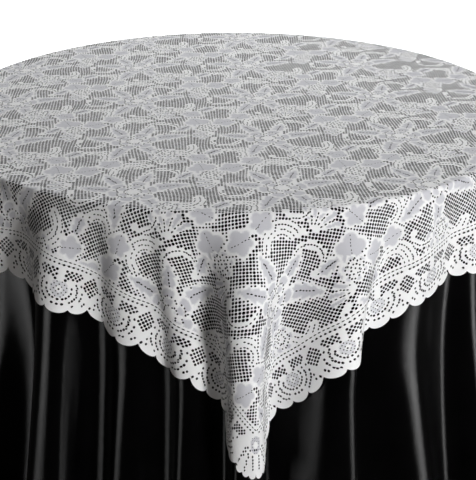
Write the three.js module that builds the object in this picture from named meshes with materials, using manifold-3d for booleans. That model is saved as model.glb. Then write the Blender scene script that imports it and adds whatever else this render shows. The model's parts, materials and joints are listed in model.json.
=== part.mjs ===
// Round folding banquet table dressed with a floor-length undercloth and a square lace overlay.
// Millimetres, +Z up, origin on the floor under the middle of the table.
// The front of the table is towards -Y, and one corner of the lace hangs there.
import * as THREE from "three";
import { mergeVertices } from "three/addons/utils/BufferGeometryUtils.js";
import Module from "manifold-3d";

const wasm = await Module();
wasm.setup();

// Clearances
const TOUCH = 0.3; // between two faces that rest against each other
const BORE_EASE = 0.3; // between a pin or screw and the wall of its hole

// Table top
const TABLE_RADIUS = 762;
const TABLE_HEIGHT = 762;
const TOP_THICKNESS = 19;
const BAND_THICKNESS = 3;
const BAND_LIP = 2; // how far the edge band hangs below the plywood

// Runners under the top
const RUNNER_WIDTH = 20;
const RUNNER_DEPTH = 30;
const RUNNER_OVERRUN = 60; // past the leg pivots, at each end

// Leg frames
const LEG_SPREAD = 330; // middle of the table to a leg, across the table
const PIVOT_REACH = 430; // middle of the table to a leg pivot, along the table
const FOLD_HEADROOM = 15; // underside of the top to a folded brace
const FOLD_EASE = 2.7; // between one frame's foot caps and the other frame's legs, both folded
const LEG_RADIUS = 14;
const LEG_WALL = 1.5;
const PIVOT_RADIUS = 11;
const PIVOT_WALL = 1.5;
const CROSSBAR_RADIUS = 11;
const SPLAY = THREE.MathUtils.degToRad(4); // the legs lean outwards by this much
const TUBE_SIDES = 20;
const CURVE_STEPS = 7; // half the straight sides of a round outline

// Foot caps
const CAP_WALL = 3;
const CAP_SLEEVE = 30;
const CAP_SOLE = 8;

// Leg brackets
const BRACKET_THICKNESS = 4;
const BRACKET_WIDTH = 60;
const BRACKET_MARGIN = 6; // metal around the pivot hole
const BRACKET_GAP = 4; // leg to bracket
const PIVOT_STICKOUT = 6; // pivot tube past its bracket

// Screws
const SCREW_RADIUS = 2;
const SCREW_HEAD_RADIUS = 4.5;
const SCREW_HEAD_HEIGHT = 2.2;
const SCREW_LENGTH = 15;
const SCREW_SIDES = 10;
const SCREW_SPREAD = 18; // from the middle of a bracket to each of its two screws
const SCREW_INSET = 13; // from the underside of the top down to a leg bracket's screws

// Folding braces, one in the middle of each leg frame
const BRACE_LEG_REACH = 290; // leg pivot to the crossbar, along the leg
const BRACE_TOP_REACH = 330; // leg pivot to the brace's upper pin, along the top
const BRACE_EASE = 4; // crossbar to a folded link
const LINK_THICKNESS = 4;
const LINK_HALF_WIDTH = 9;
const LINK_GAP = 1; // from the brace's middle plane to each link
const PIN_RADIUS = 4;
const PIN_SIDES = 12;
const PIN_HEAD_RADIUS = 7;
const PIN_HEAD_HEIGHT = 2.5;
const BASE_LENGTH = 64;
const BASE_WIDTH = 30;
const BASE_THICKNESS = 3;
const BASE_SCREW_SPREAD = 24;

// Cloths
const CLOTH_THICKNESS = 1.2;
const CLOTH_EASE = 1; // table edge to the undercloth's skirt
const LACE_EASE = 1.5; // undercloth's skirt to the lace
const LACE_SIDE = 1980;
const CORNER_POWER = 40; // how square the lace's rounded corners are
const HEM_CLEARANCE = 6;
const FOLDS = 24;
const FOLD_COLUMNS = 6; // columns of faces in one fold
const HEM_FLARE = 110; // how far a fold stands out at floor height
const SKIRT_ROWS = 2;
const LACE_COLUMNS = 96;

// Heights and places that follow from the sizes above
const TOP_UNDERSIDE = TABLE_HEIGHT - TOP_THICKNESS;
const PLY_RADIUS = TABLE_RADIUS - BAND_THICKNESS - TOUCH;
const BRACE_RISE = CROSSBAR_RADIUS + BRACE_EASE + LINK_HALF_WIDTH; // crossbar to the brace's lower pin
const PIVOT_DROP = BRACE_RISE + LINK_HALF_WIDTH + FOLD_HEADROOM; // underside of the top to a pivot
const STACK_STEP = 2 * LEG_RADIUS + TOUCH + CAP_WALL + FOLD_EASE; // the back frame folds lower by this
const BRACKET_INNER = LEG_SPREAD + LEG_RADIUS + BRACKET_GAP;
const RUNNER_INNER = BRACKET_INNER + BRACKET_THICKNESS + TOUCH;
const UNDERCLOTH_BASE = TABLE_RADIUS + CLOTH_EASE;
const LACE_BASE = UNDERCLOTH_BASE + CLOTH_THICKNESS + LACE_EASE;
const UNDERCLOTH_TOP = TABLE_HEIGHT + TOUCH;
const LACE_TOP = UNDERCLOTH_TOP + CLOTH_THICKNESS + TOUCH;

const plywood = new THREE.MeshStandardMaterial({ color: 0xb98f5e, roughness: 0.6 });
const runnerWood = new THREE.MeshStandardMaterial({ color: 0xc7a574, roughness: 0.7 });
const bandMetal = new THREE.MeshStandardMaterial({ color: 0xa9abae, roughness: 0.4, metalness: 1 });
const frameSteel = new THREE.MeshStandardMaterial({ color: 0x4a4c50, roughness: 0.5, metalness: 0.3 });
const zincSteel = new THREE.MeshStandardMaterial({ color: 0xb9bbbf, roughness: 0.35, metalness: 1 });
const capPlastic = new THREE.MeshStandardMaterial({ color: 0x161616, roughness: 0.7 });
const blackCloth = new THREE.MeshStandardMaterial({ color: 0x0b0b0d, roughness: 0.75 });
const whiteLace = new THREE.MeshStandardMaterial({ color: 0xeeeef2, roughness: 0.85 });

// Solids

function toSolid(geometry) {
  const bare = geometry.index ? geometry.clone() : geometry;
  bare.deleteAttribute("normal");
  bare.deleteAttribute("uv");
  const merged = mergeVertices(bare, 1e-4);
  return new wasm.Manifold(
    new wasm.Mesh({
      numProp: 3,
      vertProperties: new Float32Array(merged.attributes.position.array),
      triVerts: new Uint32Array(merged.index.array),
    }),
  );
}

function toGeometry(solid) {
  const mesh = solid.getMesh();
  const geometry = new THREE.BufferGeometry();
  geometry.setAttribute("position", new THREE.BufferAttribute(mesh.vertProperties, 3));
  geometry.setIndex(new THREE.BufferAttribute(mesh.triVerts, 1));
  geometry.computeVertexNormals();
  return geometry;
}

function cut(geometry, cutters) {
  const solid = cutters.reduce((rest, cutter) => rest.subtract(toSolid(cutter)), toSolid(geometry));
  return toGeometry(solid);
}

function join(first, second) {
  return toGeometry(toSolid(first).add(toSolid(second)));
}

function named(name, geometry, material) {
  const mesh = new THREE.Mesh(geometry, material);
  mesh.name = name;
  return mesh;
}

// A solid of revolution about Z from a closed [radius, z] profile.
function turned(profile, sides) {
  const points = profile.map(([radius, z]) => new THREE.Vector2(radius, z));
  return new THREE.LatheGeometry(points, sides).rotateX(Math.PI / 2);
}

function disc(radius, low, high, sides) {
  return turned([[0, low], [radius, low], [radius, high], [0, high]], sides);
}

function ring(inner, outer, low, high, sides) {
  return turned([[inner, low], [outer, low], [outer, high], [inner, high], [inner, low]], sides);
}

// A rod along X, from one x to another, with its axis at y = z = 0.
function rodAlongX(radius, from, to, sides) {
  return disc(radius, from, to, sides).rotateY(Math.PI / 2);
}

function box(low, high) {
  const size = new THREE.Vector3().subVectors(high, low);
  const middle = new THREE.Vector3().addVectors(low, high).multiplyScalar(0.5);
  return new THREE.BoxGeometry(size.x, size.y, size.z).translate(middle.x, middle.y, middle.z);
}

// A flat plate in a plane square to X: the outline's (x, y) become (y, z), and the plate spans from..to.
function plateAcrossX(outline, from, to) {
  const depth = to - from;
  const settings = { depth, bevelEnabled: false, curveSegments: CURVE_STEPS };
  const plate = new THREE.ExtrudeGeometry(outline, settings);
  return plate.rotateX(Math.PI / 2).rotateZ(Math.PI / 2).translate(from, 0, 0);
}

// A round hole whose straight sides lie outside the circle of the given radius.
function roundHole(y, z, radius) {
  const hole = new THREE.Path();
  hole.absarc(y, z, radius / Math.cos(Math.PI / (2 * CURVE_STEPS)), 0, 2 * Math.PI, true);
  return hole;
}

// A screw along +Z with the underside of its head at z = 0.
function screwGeometry() {
  return turned(
    [
      [0, -SCREW_LENGTH],
      [SCREW_RADIUS, -SCREW_LENGTH + SCREW_RADIUS],
      [SCREW_RADIUS, 0],
      [SCREW_HEAD_RADIUS, 0],
      [SCREW_HEAD_RADIUS * 0.8, SCREW_HEAD_HEIGHT],
      [0, SCREW_HEAD_HEIGHT],
    ],
    SCREW_SIDES,
  );
}

function screwHole() {
  return disc(SCREW_RADIUS + BORE_EASE, -SCREW_LENGTH - BORE_EASE, 1, SCREW_SIDES);
}

// A rivet along X: shank from one x to another, with a head past the far end.
function rivet(from, to) {
  const outwards = Math.sign(to - from);
  const length = Math.abs(to - from);
  const rod = turned(
    [
      [0, 0],
      [PIN_RADIUS, 0],
      [PIN_RADIUS, length],
      [PIN_HEAD_RADIUS, length],
      [PIN_HEAD_RADIUS, length + PIN_HEAD_HEIGHT * 0.6],
      [PIN_HEAD_RADIUS * 0.6, length + PIN_HEAD_HEIGHT],
      [0, length + PIN_HEAD_HEIGHT],
    ],
    PIN_SIDES,
  );
  return rod.rotateY((outwards * Math.PI) / 2).translate(from, 0, 0);
}

// Leg frames are drawn in their own frame: the pivot axis is X, +Y points to the middle of the table.
// side is "front" or "back".

const SIDES = {
  front: { turn: 0, drop: PIVOT_DROP },
  back: { turn: Math.PI, drop: PIVOT_DROP + STACK_STEP },
};

function frameGroup(side) {
  const group = new THREE.Group();
  group.rotation.z = SIDES[side].turn;
  return group;
}

function pivotHeight(side) {
  return TOP_UNDERSIDE - SIDES[side].drop;
}

// Places of the brace's pins in the leg frame's (y, z), with the pivot at the origin.
function braceLayout() {
  const lower = new THREE.Vector2(BRACE_LEG_REACH, BRACE_RISE).rotateAround(
    new THREE.Vector2(),
    -Math.PI / 2 - SPLAY,
  );
  const upper = new THREE.Vector2(BRACE_TOP_REACH, BRACE_RISE);
  const span = upper.distanceTo(lower);
  const upperLength = (span + BRACE_TOP_REACH - BRACE_LEG_REACH) / 2;
  const knee = upper.clone().lerp(lower, upperLength / span);
  return { lower, upper, knee };
}

function linkOutline(from, to) {
  const angle = Math.atan2(to.y - from.y, to.x - from.x);
  const outline = new THREE.Shape();
  outline.absarc(to.x, to.y, LINK_HALF_WIDTH, angle - Math.PI / 2, angle + Math.PI / 2, false);
  outline.absarc(from.x, from.y, LINK_HALF_WIDTH, angle + Math.PI / 2, angle + 1.5 * Math.PI, false);
  outline.closePath();
  outline.holes.push(roundHole(from.x, from.y, PIN_RADIUS + BORE_EASE));
  outline.holes.push(roundHole(to.x, to.y, PIN_RADIUS + BORE_EASE));
  return outline;
}

function brace(side) {
  const { lower, upper, knee } = braceLayout();
  const near = LINK_GAP;
  const far = LINK_GAP + LINK_THICKNESS;
  const shankStart = LINK_GAP / 2;
  const parts = [
    named(`brace_${side}_upper_link`, plateAcrossX(linkOutline(upper, knee), near, far), zincSteel),
    named(`brace_${side}_lower_link`, plateAcrossX(linkOutline(lower, knee), -far, -near), zincSteel),
    named(`brace_${side}_upper_knee_rivet`, rivet(shankStart, far + TOUCH), zincSteel),
    named(`brace_${side}_lower_knee_rivet`, rivet(-shankStart, -far - TOUCH), zincSteel),
    named(`brace_${side}_upper_pin`, rivet(shankStart, far + LINK_THICKNESS + 2 * TOUCH), zincSteel),
    named(`brace_${side}_lower_pin`, rivet(-shankStart, -far - LINK_THICKNESS - 2 * TOUCH), zincSteel),
  ];
  for (const rivetMesh of parts.slice(2, 4)) rivetMesh.position.set(0, knee.x, knee.y);
  parts[4].position.set(0, upper.x, upper.y);
  parts[5].position.set(0, lower.x, lower.y);
  return parts;
}

function braceBracket(side) {
  const { upper } = braceLayout();
  const near = LINK_GAP + LINK_THICKNESS + TOUCH;
  const top = SIDES[side].drop - TOUCH;
  const outline = new THREE.Shape();
  outline.moveTo(upper.x + LINK_HALF_WIDTH, top);
  outline.lineTo(upper.x - LINK_HALF_WIDTH, top);
  outline.absarc(upper.x, upper.y, LINK_HALF_WIDTH, Math.PI, 2 * Math.PI, false);
  outline.closePath();
  outline.holes.push(roundHole(upper.x, upper.y, PIN_RADIUS + BORE_EASE));
  const lug = plateAcrossX(outline, near, near + LINK_THICKNESS);
  const base = cut(
    box(
      new THREE.Vector3(near, upper.x - BASE_LENGTH / 2, top - BASE_THICKNESS),
      new THREE.Vector3(near + BASE_WIDTH, upper.x + BASE_LENGTH / 2, top),
    ),
    baseScrewPlaces(side).map(([x, y, z]) => screwHole().rotateX(Math.PI).translate(x, y, z)),
  );
  return named(`brace_${side}_bracket`, join(base, lug), zincSteel);
}

// Underside of each brace bracket's base plate, where its screw heads bear, in the leg frame.
function baseScrewPlaces(side) {
  const { upper } = braceLayout();
  const x = LINK_GAP + LINK_THICKNESS + TOUCH + BASE_WIDTH * 0.6;
  const z = SIDES[side].drop - TOUCH - BASE_THICKNESS;
  return [-1, 1].map((end) => [x, upper.x + end * BASE_SCREW_SPREAD, z - TOUCH]);
}

function braceLug(side) {
  const outline = new THREE.Shape();
  outline.moveTo(-LINK_HALF_WIDTH, CROSSBAR_RADIUS + TOUCH);
  outline.lineTo(LINK_HALF_WIDTH, CROSSBAR_RADIUS + TOUCH);
  outline.absarc(0, BRACE_RISE, LINK_HALF_WIDTH, 0, Math.PI, false);
  outline.closePath();
  outline.holes.push(roundHole(0, BRACE_RISE, PIN_RADIUS + BORE_EASE));
  const near = LINK_GAP + LINK_THICKNESS + TOUCH;
  const lug = named(
    `brace_${side}_lug`,
    plateAcrossX(outline, -near - LINK_THICKNESS, -near).translate(0, BRACE_LEG_REACH, 0),
    frameSteel,
  );
  lug.rotation.x = -Math.PI / 2 - SPLAY;
  return lug;
}

function tubeAlongX(radius, wall, from, to) {
  return ring(radius - wall, radius, from, to, TUBE_SIDES).rotateY(Math.PI / 2);
}

function leg(side, hand) {
  const slant = pivotHeight(side) / Math.cos(SPLAY);
  const from = PIVOT_RADIUS + TOUCH;
  const to = slant - CAP_SOLE - TOUCH;
  const tube = ring(LEG_RADIUS - LEG_WALL, LEG_RADIUS, -to, -from, TUBE_SIDES);
  const mesh = named(`leg_${side}_${hand < 0 ? "left" : "right"}`, tube, frameSteel);
  mesh.position.x = hand * LEG_SPREAD;
  mesh.rotation.x = -SPLAY;
  return mesh;
}

// A cup around the end of the leg, with its sole cut level with the floor.
function footCap(side, hand) {
  const height = pivotHeight(side);
  const slant = height / Math.cos(SPLAY);
  const bore = LEG_RADIUS + TOUCH;
  const sole = -slant + CAP_SOLE;
  const outer = bore + CAP_WALL;
  const cup = turned(
    [
      [0, -slant - outer],
      [outer, -slant - outer],
      [outer, sole + CAP_SLEEVE],
      [bore, sole + CAP_SLEEVE],
      [bore, sole],
      [0, sole],
    ],
    TUBE_SIDES,
  ).rotateX(-SPLAY);
  const floorY = -height * Math.tan(SPLAY);
  const reach = 2 * outer;
  const floor = box(
    new THREE.Vector3(-reach, floorY - reach, -height - 2 * reach),
    new THREE.Vector3(reach, floorY + reach, -height),
  );
  const mesh = named(`foot_cap_${side}_${hand < 0 ? "left" : "right"}`, cut(cup, [floor]), capPlastic);
  mesh.position.x = hand * LEG_SPREAD;
  return mesh;
}

function crossbar(side) {
  const half = LEG_SPREAD - LEG_RADIUS - TOUCH;
  const bar = named(
    `crossbar_${side}`,
    tubeAlongX(CROSSBAR_RADIUS, LEG_WALL, -half, half).translate(0, BRACE_LEG_REACH, 0),
    frameSteel,
  );
  bar.rotation.x = -Math.PI / 2 - SPLAY;
  return bar;
}

function pivotTube(side) {
  const half = BRACKET_INNER + BRACKET_THICKNESS + PIVOT_STICKOUT;
  return named(`pivot_tube_${side}`, tubeAlongX(PIVOT_RADIUS, PIVOT_WALL, -half, half), frameSteel);
}

function legBracket(side, hand) {
  const top = SIDES[side].drop - TOUCH;
  const round = PIVOT_RADIUS + BORE_EASE + BRACKET_MARGIN;
  const outline = new THREE.Shape();
  outline.moveTo(BRACKET_WIDTH / 2, top);
  outline.lineTo(-BRACKET_WIDTH / 2, top);
  outline.lineTo(-BRACKET_WIDTH / 2, top - 2 * SCREW_INSET);
  outline.lineTo(-round, 0);
  outline.absarc(0, 0, round, Math.PI, 2 * Math.PI, false);
  outline.lineTo(BRACKET_WIDTH / 2, top - 2 * SCREW_INSET);
  outline.closePath();
  outline.holes.push(roundHole(0, 0, PIVOT_RADIUS + BORE_EASE));
  for (const end of [-1, 1]) {
    outline.holes.push(
      roundHole(end * SCREW_SPREAD, SIDES[side].drop - SCREW_INSET, SCREW_RADIUS + BORE_EASE),
    );
  }
  const edge = hand * BRACKET_INNER;
  const from = Math.min(edge, edge + hand * BRACKET_THICKNESS);
  const plate = plateAcrossX(outline, from, from + BRACKET_THICKNESS);
  return named(`leg_bracket_${side}_${hand < 0 ? "left" : "right"}`, plate, zincSteel);
}

function bracketScrews(side, hand) {
  return [-1, 1].map((end) => {
    const label = `${side}_${hand < 0 ? "left" : "right"}_${end < 0 ? "outer" : "inner"}`;
    const screw = named(`bracket_screw_${label}`, screwGeometry(), zincSteel);
    screw.rotation.y = (-hand * Math.PI) / 2;
    screw.position.set(
      hand * (BRACKET_INNER - TOUCH),
      end * SCREW_SPREAD,
      SIDES[side].drop - SCREW_INSET,
    );
    return screw;
  });
}

function braceScrews(side) {
  return baseScrewPlaces(side).map(([x, y, z], index) => {
    const screw = named(`brace_screw_${side}_${index ? "inner" : "outer"}`, screwGeometry(), zincSteel);
    screw.rotation.x = Math.PI;
    screw.position.set(x, y, z);
    return screw;
  });
}

// Everything that belongs to one leg frame, with its pivot on the frame group's X axis.
function legAssembly(side) {
  const pivot = new THREE.Group();
  pivot.position.set(0, -PIVOT_REACH, pivotHeight(side));
  pivot.add(pivotTube(side), crossbar(side), braceLug(side), braceBracket(side));
  pivot.add(...brace(side), ...braceScrews(side));
  for (const hand of [-1, 1]) {
    pivot.add(leg(side, hand), footCap(side, hand), legBracket(side, hand), ...bracketScrews(side, hand));
  }
  const group = frameGroup(side);
  group.add(pivot);
  return group;
}

// Table top

// Where the brace brackets' screws enter the underside of the top, in the table's frame.
function topScrewHoles() {
  return Object.keys(SIDES).flatMap((side) =>
    baseScrewPlaces(side).map(([x, y, z]) =>
      screwHole()
        .rotateX(Math.PI)
        .translate(x, y - PIVOT_REACH, z + pivotHeight(side))
        .rotateZ(SIDES[side].turn),
    ),
  );
}

function tableTop() {
  const plank = disc(PLY_RADIUS, TOP_UNDERSIDE, TABLE_HEIGHT, LACE_COLUMNS);
  return named("table_top", cut(plank, topScrewHoles()), plywood);
}

function edgeBand() {
  const band = ring(PLY_RADIUS + TOUCH, TABLE_RADIUS, TOP_UNDERSIDE - BAND_LIP, TABLE_HEIGHT, LACE_COLUMNS);
  return named("edge_band", band, bandMetal);
}

function runner(hand) {
  const high = TOP_UNDERSIDE - TOUCH;
  const end = PIVOT_REACH + RUNNER_OVERRUN;
  const inner = hand * RUNNER_INNER;
  const outer = hand * (RUNNER_INNER + RUNNER_WIDTH);
  const rail = box(
    new THREE.Vector3(Math.min(inner, outer), -end, high - RUNNER_DEPTH),
    new THREE.Vector3(Math.max(inner, outer), end, high),
  );
  const holes = [-1, 1].flatMap((front) =>
    [-1, 1].map((along) =>
      screwHole()
        .rotateY((-hand * Math.PI) / 2)
        .translate(
          hand * (BRACKET_INNER - TOUCH),
          front * PIVOT_REACH + along * SCREW_SPREAD,
          TOP_UNDERSIDE - SCREW_INSET,
        ),
    ),
  );
  return named(`runner_${hand < 0 ? "left" : "right"}`, cut(rail, holes), runnerWood);
}

// Cloths

// A closed shell: a flat disc at the top and a skirt whose faces both follow radiusAt(angle, drop).
function clothShell({ columns, rows, topZ, baseRadius, dropAt, radiusAt }) {
  const positions = [];
  const faces = [];
  const levels = 2 * (rows + 1);
  for (let level = 0; level < levels; level++) {
    const outside = level <= rows;
    const row = outside ? level : levels - 1 - level;
    for (let column = 0; column < columns; column++) {
      const angle = (2 * Math.PI * column) / columns;
      const drop = (dropAt(angle) * row) / rows;
      const radius = baseRadius + radiusAt(angle, drop) + (outside ? CLOTH_THICKNESS : 0);
      const z = topZ - drop + (outside && row === 0 ? CLOTH_THICKNESS : 0);
      positions.push(radius * Math.cos(angle), radius * Math.sin(angle), z);
    }
  }
  const topCentre = positions.length / 3;
  positions.push(0, 0, topZ + CLOTH_THICKNESS, 0, 0, topZ);
  for (let column = 0; column < columns; column++) {
    const next = (column + 1) % columns;
    faces.push(topCentre, column, next);
    for (let level = 0; level < levels - 1; level++) {
      const [a, b] = [level * columns + column, level * columns + next];
      const [below, belowNext] = [a + columns, b + columns];
      // The same diagonal on both faces of the cloth keeps its thickness even.
      if (level < rows) faces.push(a, below, b, b, below, belowNext);
      else faces.push(a, below, belowNext, a, belowNext, b);
    }
    const last = (levels - 1) * columns;
    faces.push(topCentre + 1, last + next, last + column);
  }
  const geometry = new THREE.BufferGeometry();
  geometry.setAttribute("position", new THREE.Float32BufferAttribute(positions, 3));
  geometry.setIndex(faces);
  geometry.computeVertexNormals();
  return geometry;
}

// Both skirts lean outwards at the same rate, and reach the full flare at the floor.
const FLARE_RATE = HEM_FLARE / TABLE_HEIGHT;

function undercloth() {
  const shell = clothShell({
    columns: FOLDS * FOLD_COLUMNS,
    rows: SKIRT_ROWS,
    topZ: UNDERCLOTH_TOP,
    baseRadius: UNDERCLOTH_BASE,
    dropAt: () => UNDERCLOTH_TOP - HEM_CLEARANCE,
    radiusAt: (angle, drop) => FLARE_RATE * drop * (0.5 + 0.5 * Math.cos(FOLDS * angle)),
  });
  return named("undercloth", shell, blackCloth);
}

// Distance from the middle of the lace to its edge, with a corner on each of the X and Y axes.
function laceReach(angle) {
  const turn = angle + Math.PI / 4;
  const sum = Math.abs(Math.cos(turn)) ** CORNER_POWER + Math.abs(Math.sin(turn)) ** CORNER_POWER;
  return LACE_SIDE / 2 / sum ** (1 / CORNER_POWER);
}

function laceOverlay() {
  const lean = Math.cos(Math.atan(FLARE_RATE));
  const shell = clothShell({
    columns: LACE_COLUMNS,
    rows: 1,
    topZ: LACE_TOP,
    baseRadius: LACE_BASE,
    dropAt: (angle) => (laceReach(angle) - TABLE_RADIUS) * lean,
    radiusAt: (angle, drop) => FLARE_RATE * drop,
  });
  return named("lace_overlay", shell, whiteLace);
}

const table = new THREE.Group();
table.add(tableTop(), edgeBand(), runner(-1), runner(1));
table.add(legAssembly("front"), legAssembly("back"));
table.add(undercloth(), laceOverlay());

export default table;
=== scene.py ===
"""A round folding table under a floor-length black satin cloth and a square white lace overlay."""
import json
import math

import bpy
import numpy as np
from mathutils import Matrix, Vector


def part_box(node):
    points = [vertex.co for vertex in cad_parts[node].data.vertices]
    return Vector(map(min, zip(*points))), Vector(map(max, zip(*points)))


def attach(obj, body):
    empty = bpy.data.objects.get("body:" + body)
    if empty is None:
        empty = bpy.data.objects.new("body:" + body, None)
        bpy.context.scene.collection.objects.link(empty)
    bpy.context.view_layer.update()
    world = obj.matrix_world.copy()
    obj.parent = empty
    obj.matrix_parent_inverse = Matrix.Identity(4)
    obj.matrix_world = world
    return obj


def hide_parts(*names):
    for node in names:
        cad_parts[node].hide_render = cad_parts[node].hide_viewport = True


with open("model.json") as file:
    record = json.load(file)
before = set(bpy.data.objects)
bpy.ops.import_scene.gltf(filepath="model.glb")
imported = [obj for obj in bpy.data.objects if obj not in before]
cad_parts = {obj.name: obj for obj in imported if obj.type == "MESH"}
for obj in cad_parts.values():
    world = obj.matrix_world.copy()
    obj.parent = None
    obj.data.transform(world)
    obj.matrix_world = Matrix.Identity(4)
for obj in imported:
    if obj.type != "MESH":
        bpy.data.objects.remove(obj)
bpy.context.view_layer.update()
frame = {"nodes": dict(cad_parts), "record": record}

# ---------------------------------------------------------------- sizes, in metres and degrees
TABLE_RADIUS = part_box("edge_band")[1].x
UNDERCLOTH_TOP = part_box("undercloth")[1].z
UNDERCLOTH_RADIUS = 1.524       # flat radius of the round cloth
CLOTH_EASE = 0.003              # table edge to the cloth's skirt
RIM_ROUND = 0.007               # how sharply the cloth turns over the table edge
HEM_DEPTH = 0.025               # turned up inside, and how far inside it lies
HEM_GAP = 0.0016

LACE_HALF = 0.990               # half the side of the flat square
LACE_TURN = math.radians(3.9)   # its corner sits a little to the right of the front
LACE_CORNER_ROUND = 0.11
LACE_PULL = 0.0026              # how far the net is pulled out of square, in metres
LACE_LIFT = 0.0013              # lace over satin on the table top
LACE_LIFT_EDGE = 0.005          # how much more at its free edge
LACE_RIPPLE = 0.006             # and the waves on top of that
LACE_HANG = 0.45                # depth at which it has all of that

# Folds round the table, as azimuths from the front: positive to the right.
FRONT_VALLEYS = (-50, -38, -22.5, -13.5, -6, 11, 26.5, 40, 51)
FRONT_RIDGES = (-44, -30, -18.5, -10.4, 2.2, 20.6, 33, 44.8)
FRONT_DRIFTS = (0, 2, 0.6, 2.9, 4.2, -4.8, -6, -2, 0)   # how far each valley wanders sideways
OTHER_FOLDS = 18                # round the sides and the back
FOLD_JITTER = 0.16              # how unevenly those are spaced, in fold widths
RIDGE_SHARES = (0.38, 0.62)     # where a ridge may lie between its two valleys
OTHER_DRIFT = 1.5               # their sideways drift
FOLD_SEED = 7
FULLNESS = 0.84                 # share of the spare width that goes into the folds
RELIEF = 0.030                  # depth below the edge at which the folds start
VALLEY_FLARE = 0.068            # how far even the valleys stand out at the hem
SKIRT_DROP = 0.75
STAND_LIMIT = 0.132             # how far a ridge may stand out, straight ahead and to the sides
STAND_LIMIT_DIAGONAL = 0.2      # and how much more on the diagonals
DRIFT_DEPTH = 0.42              # below this the folds hang straight
CRUMPLE = 0.0012                # size of the small uneven waves
CRUMPLE_WAVES = (31, 47, 68, 95)
TALLEST = 0.74                  # largest height of a fold, in lengths of its shorter flank
STEEPEST = 2.1                  # largest slope, in radians, that a flank can take
STEEP_STEPS = 211
FLANK_STEPS = 65
HALVINGS = 30                   # in the search for a fold's height

# Grids on which the drape is worked out and the undercloth is built.
ROW_STEP = 0.008
SKIRT_ROWS = 97
COLUMNS = 1440
CLOTH_COLUMNS = 1080
TOP_RINGS, TURN_RINGS, SKIRT_RINGS = 26, 5, 88
CENTRE_PATCH = 0.004            # radius of the patch that closes the middle
HEM_RINGS = (0.0006, 0.008, 0.016, HEM_DEPTH)
UV_SPAN = 2.02                  # width of the UV square, in the cloth's largest coordinate


# ---------------------------------------------------------------- how cloth hangs off a round edge
def fold_layout():
    """Flat azimuths of the valleys and ridges, and each valley's drift, in radians."""
    rng = np.random.default_rng(FOLD_SEED)
    start, end = FRONT_VALLEYS[-1], FRONT_VALLEYS[0] + 360
    width = (end - start) / OTHER_FOLDS
    edges = start + width * np.arange(OTHER_FOLDS + 1)
    edges[1:-1] += rng.uniform(-FOLD_JITTER, FOLD_JITTER, OTHER_FOLDS - 1) * width
    middles = edges[:-1] + np.diff(edges) * rng.uniform(*RIDGE_SHARES, OTHER_FOLDS)
    valleys = np.concatenate([FRONT_VALLEYS, edges[1:-1]])
    ridges = np.concatenate([FRONT_RIDGES, middles])
    other_drifts = rng.uniform(-OTHER_DRIFT, OTHER_DRIFT, OTHER_FOLDS - 1)
    drifts = np.concatenate([FRONT_DRIFTS, other_drifts])
    return np.radians(valleys), np.radians(ridges), np.radians(drifts)


def ease(share):
    """Smooth step for a share that runs from 0 to 1."""
    return share ** 2 * (3 - 2 * share)


def running_sum(values, step):
    """Integral along the last axis, starting from zero."""
    total = np.zeros_like(values)
    total[..., 1:] = np.cumsum((values[..., 1:] + values[..., :-1]) / 2, axis=-1) * step
    return total


def table_value(table, row, column):
    """Bilinear look-up at fractional rows and columns."""
    r0 = np.clip(row.astype(int), 0, table.shape[0] - 2)
    c0 = np.clip(column.astype(int), 0, table.shape[1] - 2)
    fr, fc = row - r0, column - c0
    if table.ndim == 3:
        fr, fc = fr[..., None], fc[..., None]
    low = table[r0, c0] * (1 - fc) + table[r0, c0 + 1] * fc
    high = table[r0 + 1, c0] * (1 - fc) + table[r0 + 1, c0 + 1] * fc
    return low * (1 - fr) + high * fr


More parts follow.
